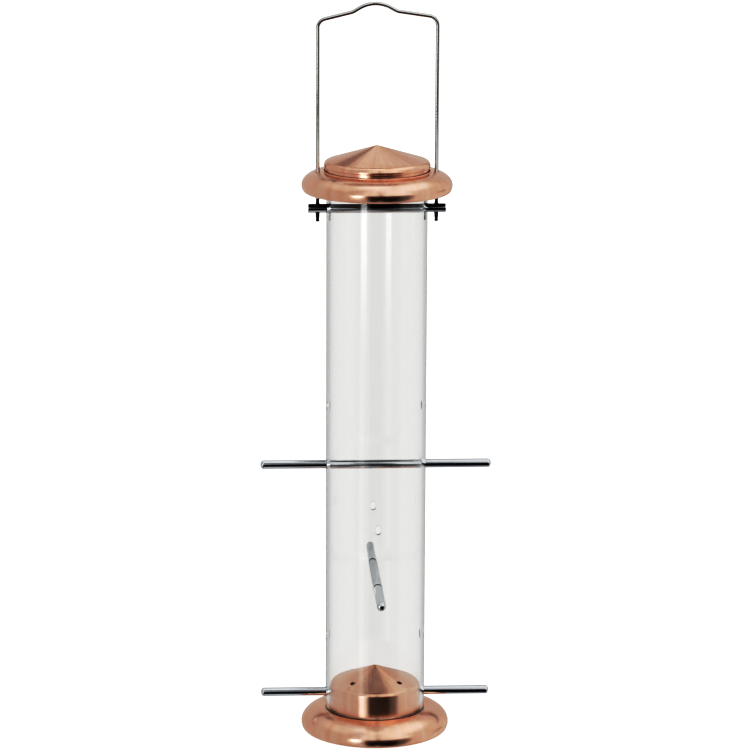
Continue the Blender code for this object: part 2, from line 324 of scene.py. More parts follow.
@dataclass(frozen=True)
class ChromedRod(Finish):
    """Cold-drawn steel rod, polished and chromium plated.

    Drawing leaves faint straight lines along the rod. The eye gets a mirror with crisp long bands.
    """

    name: str = "steel_drawn_chromium_plated"
    base: str = "DDE0E4"
    roughness: float = 0.06
    smoother: float = 0.02      # how far the lines take the roughness down, and up
    rougher: float = 0.06
    lines: DieLines = DieLines(spacing_mm=0.35, depth_mm=0.004, strength=0.2)

    def draw_lines(self, tree: Tree) -> tuple[Any, Any]:
        """Draw the lines along the piece's own Z axis.

        Args:
            tree: the material's node tree.

        Returns:
            Nodes with the lines' height and normal.
        """
        return self.lines.draw(tree, add_node(tree, "TexCoord").outputs["Object"], along=2)

    def surface(self, tree: Tree) -> dict[str, Any]:
        """Plate the steel: the lines waver in roughness and in relief.

        Args:
            tree: the material's node tree.

        Returns:
            Values, sockets and nodes for the shader's inputs.
        """
        height, normal = self.draw_lines(tree)
        low, high = self.roughness - self.smoother, self.roughness + self.rougher
        rough = {"Value": height, "From Min": 0.3, "From Max": 0.75, "To Min": low, "To Max": high}
        return {
            "Base Color": linear(self.base),
            "Metallic": 1.0,
            "Roughness": add_node(tree, "MapRange", rough),
            "Normal": normal,
        }


@dataclass(frozen=True)
class ChromedWire(ChromedRod):
    """Spring steel wire, bent cold and bright chromium plated.

    It is duller than the rods: the plate follows the die marks along the wire, so its bands blur.
    """

    name: str = "steel_wire_bright_plated"
    base: str = "D2D2D0"
    roughness: float = 0.13
    smoother: float = 0.03
    rougher: float = 0.08
    lines: DieLines = DieLines(spacing_mm=0.25, depth_mm=0.006, strength=0.25, raggedness=0.55)

    def draw_lines(self, tree: Tree) -> tuple[Any, Any]:
        """Draw the lines along the bent wire, by the lengthwise UV map that its mesh carries.

        Args:
            tree: the material's node tree.

        Returns:
            Nodes with the lines' height and normal.
        """
        return self.lines.draw(tree, add_node(tree, "UVMap", uv_map=WIRE_UV), along=0)


@dataclass(frozen=True)
class DarkMetal(Finish):
    """Dark, dull metal: the unbrushed inside of the copper, and the handle's legs.

    On the copper its darkness is painted shade, in the hollows and under the sheet. A thin oxide dulls
    it, so the eye reads a dark, blurred surface beside the bright ones.
    """

    base: str
    roughness: float
    patch_mm: float

    def surface(self, tree: Tree) -> dict[str, Any]:
        """Draw cloudy patches of oxide.

        Args:
            tree: the material's node tree.

        Returns:
            Values, sockets and nodes for the shader's inputs.
        """
        place = add_node(tree, "TexCoord").outputs["Object"]
        clouds = {"Vector": place, "Scale": 1.0 / (self.patch_mm * MM), "Detail": 4.0, "Roughness": 0.6}
        patches = add_node(tree, "TexNoise", clouds)
        low, high = self.roughness - 0.1, self.roughness + 0.1
        rough = add_node(tree, "MapRange", {"Value": patches, "To Min": low, "To Max": high})
        tone = add_node(tree, "MapRange", {"Value": patches, "To Min": 0.6, "To Max": 1.3})
        colour = add_node(
            tree, "VectorMath", {0: linear(self.base)[:3], "Scale": tone}, operation="SCALE"
        )
        return {"Base Color": colour, "Metallic": 1.0, "Roughness": rough}


@dataclass(frozen=True)
class ClearPolycarbonate(Finish):
    """Extruded clear polycarbonate; a rougher one is the frosted look of its cut edges.

    The extruder leaves very faint lines along the tube, so its reflections waver slightly. A cut edge
    scatters light and reads as a pale line.
    """

    name: str = "polycarbonate_clear_extruded"
    base: str = "FCFCFB"
    ior: float = 1.585
    roughness: float = 0.015
    lines: DieLines = DieLines(spacing_mm=2.5, depth_mm=0.010, strength=0.12, narrowness=0.01)

    def surface(self, tree: Tree) -> dict[str, Any]:
        """Draw the extruder's lines along the tube.

        Args:
            tree: the material's node tree.

        Returns:
            Values, sockets and nodes for the shader's inputs.
        """
        place = add_node(tree, "TexCoord").outputs["Object"]
        height, normal = self.lines.draw(tree, place, along=2)
        low, high = self.roughness * 0.5, self.roughness * 1.5
        return {
            "Base Color": linear(self.base),
            "IOR": self.ior,
            "Transmission Weight": 1.0,
            "Roughness": add_node(tree, "MapRange", {"Value": height, "To Min": low, "To Max": high}),
            "Normal": normal,
        }


@dataclass(frozen=True)
class WhiteCard(Finish):
    """Matt white card under the feeder, lit evenly so that it stays pale to its far edge."""

    name: str = "card_matt_white"
    glow: float = 0.80

    def surface(self, tree: Tree) -> dict[str, Any]:
        """Draw the card's faint paper grain.

        Args:
            tree: the material's node tree.

        Returns:
            Values, sockets and nodes for the shader's inputs.
        """
        grain = add_node(tree, "TexNoise", {"Scale": 900.0, "Detail": 2.0})
        tone = add_node(tree, "MapRange", {"Value": grain, "To Min": 0.80, "To Max": 0.84})
        return {
            "Base Color": add_node(tree, "CombineColor", {0: tone, 1: tone, 2: tone}),
            "Roughness": 0.9,
            "Specular IOR Level": 0.1,
            "Emission Color": (1.0, 1.0, 1.0, 1.0),
            "Emission Strength": self.glow,
        }


# ---- Meshes -----------------------------------------------------------------------------------
WIRE_UV = "along_wire"


class Outline:
    """Outline of a turned piece, walked as (radius, height) points."""

    HOLD = 0.00025  # a straight run gets a point this far from each end, to keep its shading flat

    def __init__(self, radius: float, height: float) -> None:
        """Start at a point.

        Args:
            radius: distance from the axis.
            height: height of the point.
        """
        self.points: list[Point] = [(radius, height)]

    def line(self, radius: float, height: float) -> Outline:
        """Walk straight to a point.

        Args:
            radius: radius to reach.
            height: height to reach.

        Returns:
            The outline itself.
        """
        begin, end = Vector(self.points[-1]), Vector((radius, height))
        length = (end - begin).length
        if length > 4.0 * self.HOLD:
            step = (end - begin) * (self.HOLD / length)
            self.points += [tuple(begin + step), tuple(end - step)]
        self.points.append((radius, height))
        return self

    def curve(self, centre: Point, radii: Point, start: float, end: float, steps: int) -> Outline:
        """Walk along part of an ellipse; its first point is left out if it is where the walk stands.

        Args:
            centre: middle of the ellipse.
            radii: its half axes, along the radius and along the height.
            start: first angle in degrees, 0 pointing outwards and 90 up.
            end: last angle in degrees.
            steps: number of steps between them.

        Returns:
            The outline itself.
        """
        for step in range(steps + 1):
            angle = math.radians(start + (end - start) * step / steps)
            spot = (centre[0] + radii[0] * math.cos(angle), centre[1] + radii[1] * math.sin(angle))
            if step or (Vector(spot) - Vector(self.points[-1])).length > 1e-6:
                self.points.append(spot)
        return self


def finish_mesh(name: str, mesh: Mesh, sharp_degrees: float = 40.0) -> Piece:
    """Turn a bmesh into a smooth-shaded object.

    Args:
        name: name of the piece.
        mesh: bmesh, freed here.
        sharp_degrees: edges that turn more than this stay sharp.

    Returns:
        The new object, linked to the scene.
    """
    bmesh.ops.recalc_face_normals(mesh, faces=mesh.faces)
    data = bpy.data.meshes.new(name)
    mesh.to_mesh(data)
    mesh.free()
    data.shade_smooth()
    data.set_sharp_from_angle(angle=math.radians(sharp_degrees))
    piece = bpy.data.objects.new(name, data)
    bpy.context.scene.collection.objects.link(piece)
    return piece


def turn_outline(name: str, points: Sequence[Point], segments: int, closed: bool) -> Piece:
    """Turn an outline round Z.

    Args:
        name: name of the piece.
        points: (radius, height) points; one with no radius is a pole.
        segments: faces round the axis.
        closed: whether the last point joins the first.

    Returns:
        The turned piece.
    """
    mesh = bmesh.new()
    rings: list[list[bmesh.types.BMVert]] = []
    for radius, height in points:
        if radius < 1e-7:
            rings.append([mesh.verts.new((0.0, 0.0, height))])
            continue
        ring = []
        for step in range(segments):
            angle = 2.0 * math.pi * step / segments
            ring.append(mesh.verts.new((radius * math.cos(angle), radius * math.sin(angle), height)))
        rings.append(ring)
    pairs = list(zip(rings[:-1], rings[1:]))
    if closed:
        pairs.append((rings[-1], rings[0]))
    for first, second in pairs:
        for step in range(segments):
            beside = (step + 1) % segments
            corners = [
                first[step % len(first)],
                first[beside % len(first)],
                second[beside % len(second)],
                second[step % len(second)],
            ]
            unique = list(dict.fromkeys(corners))
            if len(unique) > 2:
                mesh.faces.new(unique)
    return finish_mesh(name, mesh)


def apply_cut(target: Piece, cutter: Piece) -> None:
    """Subtract a closed cutter from a piece for good, and remove the cutter.

    Args:
        target: piece to cut.
        cutter: closed body or bodies; its material dresses the cut faces.
    """
    modifier = target.modifiers.new("cut", "BOOLEAN")
    modifier.operation = "DIFFERENCE"
    modifier.solver = "EXACT"
    modifier.material_mode = "TRANSFER"
    modifier.object = cutter
    view = bpy.context.evaluated_depsgraph_get()
    view.update()
    result = bpy.data.meshes.new_from_object(target.evaluated_get(view))
    target.modifiers.clear()
    old = target.data
    target.data = result
    bpy.data.meshes.remove(old)
    result.name = target.name
    result.set_sharp_from_angle(angle=math.radians(40.0))
    spent = cutter.data
    bpy.data.objects.remove(cutter)
    bpy.data.meshes.remove(spent)


def add_punch(
    mesh: Mesh,
    centre: Sequence[float],
    along: Sequence[float],
    radius: float,
    length: float,
    stretch: float = 0.0,
    segments: int = 32,
) -> None:
    """Add a round drill, or an upright slot punch with round ends, to a bmesh of cutters.

    Args:
        mesh: bmesh of cutters.
        centre: middle of the cutter.
        along: direction it cuts in.
        radius: radius of the drill or of the slot's ends.
        length: length of the cutter.
        stretch: how far each end of a slot is moved from the middle.
        segments: sides of the cutter.
    """
    made = bmesh.ops.create_cone(
        mesh,
        cap_ends=True,
        segments=segments,
        radius1=radius,
        radius2=radius,
        depth=length,
        matrix=Matrix.Rotation(math.pi / segments, 4, "Z"),
    )
    for vertex in made["verts"]:
        vertex.co.y += math.copysign(stretch, vertex.co.y) if stretch else 0.0
    turn = Vector(along).to_track_quat("Z", "Y").to_matrix().to_4x4()
    bmesh.ops.transform(mesh, matrix=Matrix.Translation(centre) @ turn, verts=made["verts"])


@dataclass(frozen=True)
class SpunCone:
    """Section of a thin cone with a rounded tip, a straight flank and a rounded shoulder."""

    radius: float
    shoulder_height: float
    shoulder_radius: float
    tip_height: float
    sheet: float = 0.0007
    tip_rounding: float = 0.0016

    @property
    def run(self) -> float:
        """Radius of the shoulder's middle."""
        return self.radius - self.shoulder_radius

    @property
    def slope(self) -> float:
        """Work out the slope of the flank.

        Returns:
            Its angle above the level, in radians.
        """
        fall = self.tip_height - self.tip_rounding - self.shoulder_height
        offset = self.tip_rounding - self.shoulder_radius
        return math.atan2(fall, self.run) + math.asin(offset / math.hypot(self.run, fall))

    def outer(self) -> Outline:
        """Walk from the tip down to the shoulder's widest point.

        Returns:
            The outline so far.
        """
        lean = 90.0 - math.degrees(self.slope)
        middle = self.tip_height - self.tip_rounding
        outline = Outline(0.0, self.tip_height)
        for step in range(1, 7):
            angle = math.radians(90.0 + (lean - 90.0) * step / 6)
            outline.points.append(
                (self.tip_rounding * math.cos(angle), middle + self.tip_rounding * math.sin(angle))
            )
        bend = self.shoulder_radius
        end = (
            self.run + bend * math.sin(self.slope),
            self.shoulder_height + bend * math.cos(self.slope),
        )
        outline.line(*end)
        return outline.curve((self.run, self.shoulder_height), (bend, bend), lean, 0.0, 16)

    def inner(self, outline: Outline, bore: float) -> Outline:
        """Walk back under the shoulder and the flank to the axis.

        Args:
            outline: outline that has reached the foot of the bore.
            bore: radius of the bore below the shoulder.

        Returns:
            The outline.
        """
        bend = self.shoulder_radius - self.sheet
        lean = 90.0 - math.degrees(self.slope)
        start = math.acos(min(1.0, (bore - self.run) / bend))
        outline.line(bore, self.shoulder_height + bend * math.sin(start))
        outline.curve((self.run, self.shoulder_height), (bend, bend), math.degrees(start), lean, 10)
        middle = self.tip_height - self.tip_rounding
        return outline.line(0.0, middle + (self.tip_rounding - self.sheet) / math.cos(self.slope))


def paint_where(
    piece: Piece,
    material: Material,
    chosen: Callable[[bpy.types.MeshPolygon], bool],
) -> None:
    """Give some of a piece's faces a second material.

    Args:
        piece: the piece, with its main material in the first slot.
        material: the second material.
        chosen: tells whether a face gets it.
    """
    if material.name not in piece.data.materials:
        piece.data.materials.append(material)
    slot = piece.data.materials.find(material.name)
    for face in piece.data.polygons:
        if chosen(face):
            face.material_index = slot


def faces_inside(face: bpy.types.MeshPolygon) -> bool:
    """Tell whether a face of a turned piece looks down or towards the axis.

    Args:
        face: the face.

    Returns:
        True for the hidden inner side of the sheet, which is painted in shade.
    """
    outwards = Vector((face.center.x, face.center.y, 0.0)).normalized()
    towards = -face.normal.dot(outwards)
    return towards > 0.5 or (face.normal.z < -0.05 and towards > -0.05)


def dress(piece: Piece, material: Material, body: Body, node: str) -> Piece:
    """Give a piece its finish, let it stand for its CAD node, and let it ride on its body.

    Args:
        piece: the finished piece.
        material: its first material.
        body: the body that it moves with.
        node: the CAD node that it stands for.

    Returns:
        The piece.
    """
    if piece.data.materials:
        piece.data.materials[0] = material
    else:
        piece.data.materials.append(material)
    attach(piece, body.value)
    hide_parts(node)
    return piece


# ---- Spun copper discs ------------------------------------------------------------------------
@dataclass(frozen=True)
class SpunDisc:
    """Section shared by the lid's brim and the base's tray: a dome whose edge is turned under."""

    radius: float = span("base_tray", Axis.X)[1]
    rim_drop: float = 0.0042
    edge_radius: float = 0.0425
    hem: float = 0.0020
    sheet: float = 0.0007

    def outer(self, outline: Outline, start_radius: float, top: float, edge: float) -> Outline:
        """Walk the dome's outer face, the turned-under edge and its hem.

        Args:
            outline: outline that has reached the dome's upper end.
            start_radius: radius of the dome's upper end.
            top: height of the dome's upper end.
            edge: height of the lowest edge.

        Returns:
            The outline.
        """
        widest = edge + self.rim_drop
        half_axes = (self.radius - start_radius, top - widest)
        curl = self.radius - self.edge_radius
        outline.curve((start_radius, widest), half_axes, 90.0, 0.0, 28)
        outline.curve((self.edge_radius, widest), (curl, self.rim_drop), 0.0, -90.0, 14)
        outline.line(self.edge_radius - self.hem, edge)
        return outline.line(self.edge_radius - self.hem, edge + self.sheet)

    def inner(self, outline: Outline, start_radius: float, top: float, edge: float) -> Outline:
        """Walk back under the dome.

        Args:
            outline: outline that has reached the hem's upper side.
            start_radius: radius of the dome's upper end.
            top: height of the dome's upper end.
            edge: height of the lowest edge.

        Returns:
            The outline.
        """
        widest = edge + self.rim_drop
        curl = self.radius - self.edge_radius - self.sheet
        outline.curve((self.edge_radius, widest), (curl, self.rim_drop - self.sheet), -90.0, 0.0, 8)
        half_axes = (self.radius - start_radius - self.sheet, top - widest - self.sheet)
        return outline.curve((start_radius, widest), half_axes, 0.0, 90.0, 16)


@dataclass
class CopperParts:
    """What the base and the lid share: spun sheet, brushed outside and bare inside, darkened there as
    painted shade.
    """

    disc: SpunDisc
    copper: Material
    dark_metal: Material
    segments: int = 192

    def finish(self, piece: Piece, body: Body, node: str) -> None:
        """Dress a spun piece: copper outside, dark bare metal as painted shade on the hidden inner side.

        Args:
            piece: the piece.
            body: the body that it moves with.
            node: the CAD node that it stands for.
        """
        dress(piece, self.copper, body, node)
        # Painted shade: the inner side and the undersides of the sheet get the dark metal.
        paint_where(piece, self.dark_metal, faces_inside)


# ---- Base -------------------------------------------------------------------------------------
@dataclass
class Base(CopperParts):
    """Copper tray and the copper cup that plugs the tube's lower end."""

    cup_radius: float = span("base_cup", Axis.X)[1]
    tray_height: float = TUBE_FOOT - GAP
    land_radius: float = 0.0310
    collar_height: float = 0.0040
    cone: SpunCone = SpunCone(
        radius=span("base_cup", Axis.X)[1],
        shoulder_height=0.0268,
        shoulder_radius=0.0030,
        tip_height=span("base_cup", Axis.Z)[1],
    )
    perch_hole: float = 0.0030
    perch_height: float = middle_height("base_perch")
    drain_radius: float = 0.0015
    drain_circle: float = 0.0196
    drain_drill: Point = (0.030, 0.012)    # middle height and length of each drain's drill
    collar_edge: float = 0.0002            # rounding of the collar's upper edge

    def tray(self) -> Piece:
        """Make the domed tray with its upturned collar and the land that the tube stands on.

        Returns:
            The finished piece.
        """
        sheet, edge = self.disc.sheet, self.collar_edge
        collar = self.cup_radius - sheet - GAP
        shoulder = self.tray_height + self.collar_height - edge
        outline = Outline(collar - sheet, shoulder)
        outline.curve((collar - sheet / 2.0, shoulder), (sheet / 2.0, edge), 180.0, 0.0, 8)
        outline.line(collar, self.tray_height)
        outline.line(self.land_radius, self.tray_height)
        self.disc.outer(outline, self.land_radius, self.tray_height, 0.0)
        self.disc.inner(outline, self.land_radius, self.tray_height, 0.0)
        outline.line(collar - sheet, self.tray_height - sheet)
        piece = turn_outline("tray_spun_copper", outline.points, self.segments, closed=True)
        self.finish(piece, Body.FEEDER, "base_tray")
        return piece

    def cup(self) -> Piece:
        """Make the cup: a cone that sheds the seed over a straight wall, drilled for rod and rain.

        Returns:
            The finished piece.
        """
        bore, foot = self.cup_radius - self.disc.sheet, TUBE_FOOT
        outline = self.cone.outer()
        outline.line(self.cup_radius, foot)
        outline.line(bore, foot)
        self.cone.inner(outline, bore)
        piece = turn_outline("cup_spun_copper", outline.points, self.segments, closed=False)
        cutters = bmesh.new()
        middle = (0.0, 0.0, self.perch_height)
        add_punch(cutters, middle, ALONG_X, self.perch_hole, 3.0 * self.cup_radius)
        height, depth = self.drain_drill
        for quarter in range(4):
            angle = math.radians(45.0 + 90.0 * quarter)
            spot = (self.drain_circle * math.cos(angle), self.drain_circle * math.sin(angle), height)
            add_punch(cutters, spot, ALONG_Z, self.drain_radius, depth)
        apply_cut(piece, finish_mesh("cup_cutters", cutters))
        self.finish(piece, Body.FEEDER, "base_cup")
        return piece


# ---- Lid --------------------------------------------------------------------------------------
@dataclass
class Lid(CopperParts):
    """Copper brim and the copper cap on top of it."""

    edge_height: float = span("lid_brim", Axis.Z)[0]
    crown_height: float = span("lid_brim", Axis.Z)[1]
    fold: float = 0.0006
    neck_bore: float = span("seed_tube", Axis.X)[1] + GAP
    neck_wall: float = 0.0005
    neck_bottom: float = span("lid_cap", Axis.Z)[0]
    leg_hole: float = 0.0016
    cone: SpunCone = SpunCone(
        radius=span("lid_cap", Axis.X)[1],
        shoulder_height=0.3464,
        shoulder_radius=0.0033,
        tip_height=span("lid_cap", Axis.Z)[1],
    )
    lip_bottom: float = 0.3456
    lip_fold: float = 0.0004
    drill_length: float = 0.012

    def brim(self) -> Piece:
        """Make the brim: a domed ring with an upturned fold round the neck and two leg holes.

        Returns:
            The finished piece.
        """
        sheet, crown = self.disc.sheet, self.crown_height
        bore = self.neck_bore + self.neck_wall + GAP
        top, half = crown - self.fold, sheet / 2.0
        outline = Outline(bore, crown - half)
        outline.curve((bore + half, crown - half), (half, half), 180.0, 0.0, 8)
        outline.points.append((bore + sheet, top + 0.01 * MM))
        self.disc.outer(outline, bore + sheet, top, self.edge_height)
        self.disc.inner(outline, bore + sheet, top, self.edge_height)
        outline.line(bore, top - sheet)
        piece = turn_outline("brim_spun_copper", outline.points, self.segments, closed=True)
        cutters = bmesh.new()
        for side in SIDES:
            spot = (side * LEG_OFFSET, 0.0, top)
            add_punch(cutters, spot, ALONG_Z, self.leg_hole, self.drill_length)
        apply_cut(piece, finish_mesh("brim_cutters", cutters))
        self.finish(piece, Body.LID, "lid_brim")
        return piece

    def cap(self) -> Piece:
        """Make the cap: a low cone with a folded lip over a straight neck.

        Returns:
            The finished piece.
        """
        fold, lip = self.lip_fold, self.cone.radius
        outline = self.cone.outer()
        outline.line(lip, self.lip_bottom + fold)
        outline.curve((lip - fold, self.lip_bottom + fold), (fold, fold), 0.0, -90.0, 8)
        neck = self.neck_bore + self.neck_wall
        outline.line(neck, self.lip_bottom)
        outline.line(neck, self.neck_bottom)
        outline.line(self.neck_bore, self.neck_bottom)
        self.cone.inner(outline, self.neck_bore)
        piece = turn_outline("cap_spun_copper", outline.points, self.segments, closed=False)
        self.finish(piece, Body.LID, "lid_cap")
        return piece


# ---- Seed tube --------------------------------------------------------------------------------
@dataclass
class SeedTube:
    """Clear tube, drilled for the rods and punched with six feeding slots."""

    clear: Material
    cut_edge: Material
    radius: float = span("seed_tube", Axis.X)[1]
    wall: float = 0.0022
    bottom: float = TUBE_FOOT
    top: float = TUBE_TOP
    edge: float = 0.00015
    rod_hole: float = 0.0030
    slot_width: float = 0.0034
    slot_height: float = 0.0056
    slot_rise: float = 0.0360
    segments: int = 256

    def build(self) -> Piece:
        """Make the tube, with a slightly broken edge at each end.

        Returns:
            The finished piece.
        """
        inner, outer, edge = self.radius - self.wall, self.radius, self.edge
        outline = Outline(inner, self.top - edge)
        outline.points += [(inner + edge, self.top), (outer - edge, self.top), (outer, self.top - edge)]
        outline.line(outer, self.bottom + edge)
        outline.points += [(outer - edge, self.bottom), (inner + edge, self.bottom)]
        outline.points.append((inner, self.bottom + edge))
        outline.line(inner, self.top - edge)
        outline.points.pop()
        piece = turn_outline("tube_clear", outline.points, self.segments, closed=True)
        piece.data.materials.append(self.clear)
        paint_where(piece, self.cut_edge, lambda face: abs(face.normal.z) > 0.5)
        apply_cut(piece, self.cutters())
        return dress(piece, self.clear, Body.FEEDER, "seed_tube")

    def cutters(self) -> Piece:
        """Make every drill and slot punch as one cutter, dressed as a cut edge.

        Returns:
            The cutters, as one piece.
        """
        drilled = (
            (middle_height("crossbar"), ALONG_X),
            (middle_height("upper_perch"), ALONG_X),
            (middle_height("middle_perch"), ALONG_Y),
            (middle_height("base_perch"), ALONG_X),
        )
        mesh = bmesh.new()
        for height, along in drilled:
            add_punch(mesh, (0.0, 0.0, height), along, self.rod_hole, 3.0 * self.radius, segments=48)
        stretch = (self.slot_height - self.slot_width) / 2.0
        for height, along in drilled[1:]:
            for side in SIDES:
                outward = side * Vector(along)
                spot = outward * self.radius + Vector((0.0, 0.0, height + self.slot_rise))
                add_punch(mesh, spot, outward, self.slot_width / 2.0, self.radius / 2.0, stretch, 48)
        cutter = finish_mesh("tube_cutters", mesh)
        cutter.data.materials.append(self.cut_edge)
        return cutter


# ---- Rods -------------------------------------------------------------------------------------
@dataclass
class Rods:
    """Three perches with domed ends, and the crossbar with chamfered ends."""

    chrome: Material
    radius: float = 0.0027
    half_length: float = span("upper_perch", Axis.X)[1]
    dome: float = 0.0018
    bar_half_length: float = span("crossbar", Axis.X)[1]
    bar_chamfer: float = 0.0004
    leg_hole: float = 0.0015
    segments: int = 48

    def lay(self, piece: Piece, node: str, lay: Lay) -> Piece:
        """Turn an upright rod down to lie through the tube's axis.

        Args:
            piece: rod built along Z.
            node: the CAD node that it stands for.
            lay: which way it lies.

        Returns:
            The piece.
        """
        piece.rotation_euler = (0.0, math.pi / 2.0, lay.value)
        piece.location = (0.0, 0.0, middle_height(node))
        return piece

    def perch(self, name: str, node: str, lay: Lay, body: Body) -> Piece:
        """Build one perch.

        Args:
            name: name of the piece.
            node: the CAD node that it stands for.
            lay: which way it lies.
            body: the body that it moves with.

        Returns:
            The perch.
        """
        straight = self.half_length - self.dome
        outline = Outline(0.0, straight + self.dome)
        outline.curve((0.0, straight), (self.radius, self.dome), 90.0, 0.0, 12)
        outline.line(self.radius, -straight)
        outline.curve((0.0, -straight), (self.radius, self.dome), 0.0, -90.0, 12)
        outline.points[-1] = (0.0, -straight - self.dome)
        piece = turn_outline(name, outline.points, self.segments, closed=False)
        self.lay(piece, node, lay)
        return dress(piece, self.chrome, body, node)

    def crossbar(self) -> Piece:
        """Make the crossbar, cross-drilled near each end for a leg of the handle.

        Returns:
            The finished piece.
        """
        half, chamfer = self.bar_half_length, self.bar_chamfer
        outline = Outline(0.0, half)
        outline.line(self.radius - chamfer, half)
        outline.curve((self.radius - chamfer, half - chamfer), (chamfer, chamfer), 90.0, 0.0, 5)
        outline.line(self.radius, chamfer - half)
        outline.curve((self.radius - chamfer, chamfer - half), (chamfer, chamfer), 0.0, -90.0, 5)
        outline.line(0.0, -half)
        piece = turn_outline("crossbar_chromed", outline.points, self.segments, closed=False)
        cutters = bmesh.new()
        for side in SIDES:
            spot = (0.0, 0.0, side * LEG_OFFSET)
            add_punch(cutters, spot, ALONG_X, self.leg_hole, 4.0 * self.radius)
        apply_cut(piece, finish_mesh("crossbar_cutters", cutters))
        self.lay(piece, "crossbar", Lay.LEFT_TO_RIGHT)
        return dress(piece, self.chrome, Body.FEEDER, "crossbar")


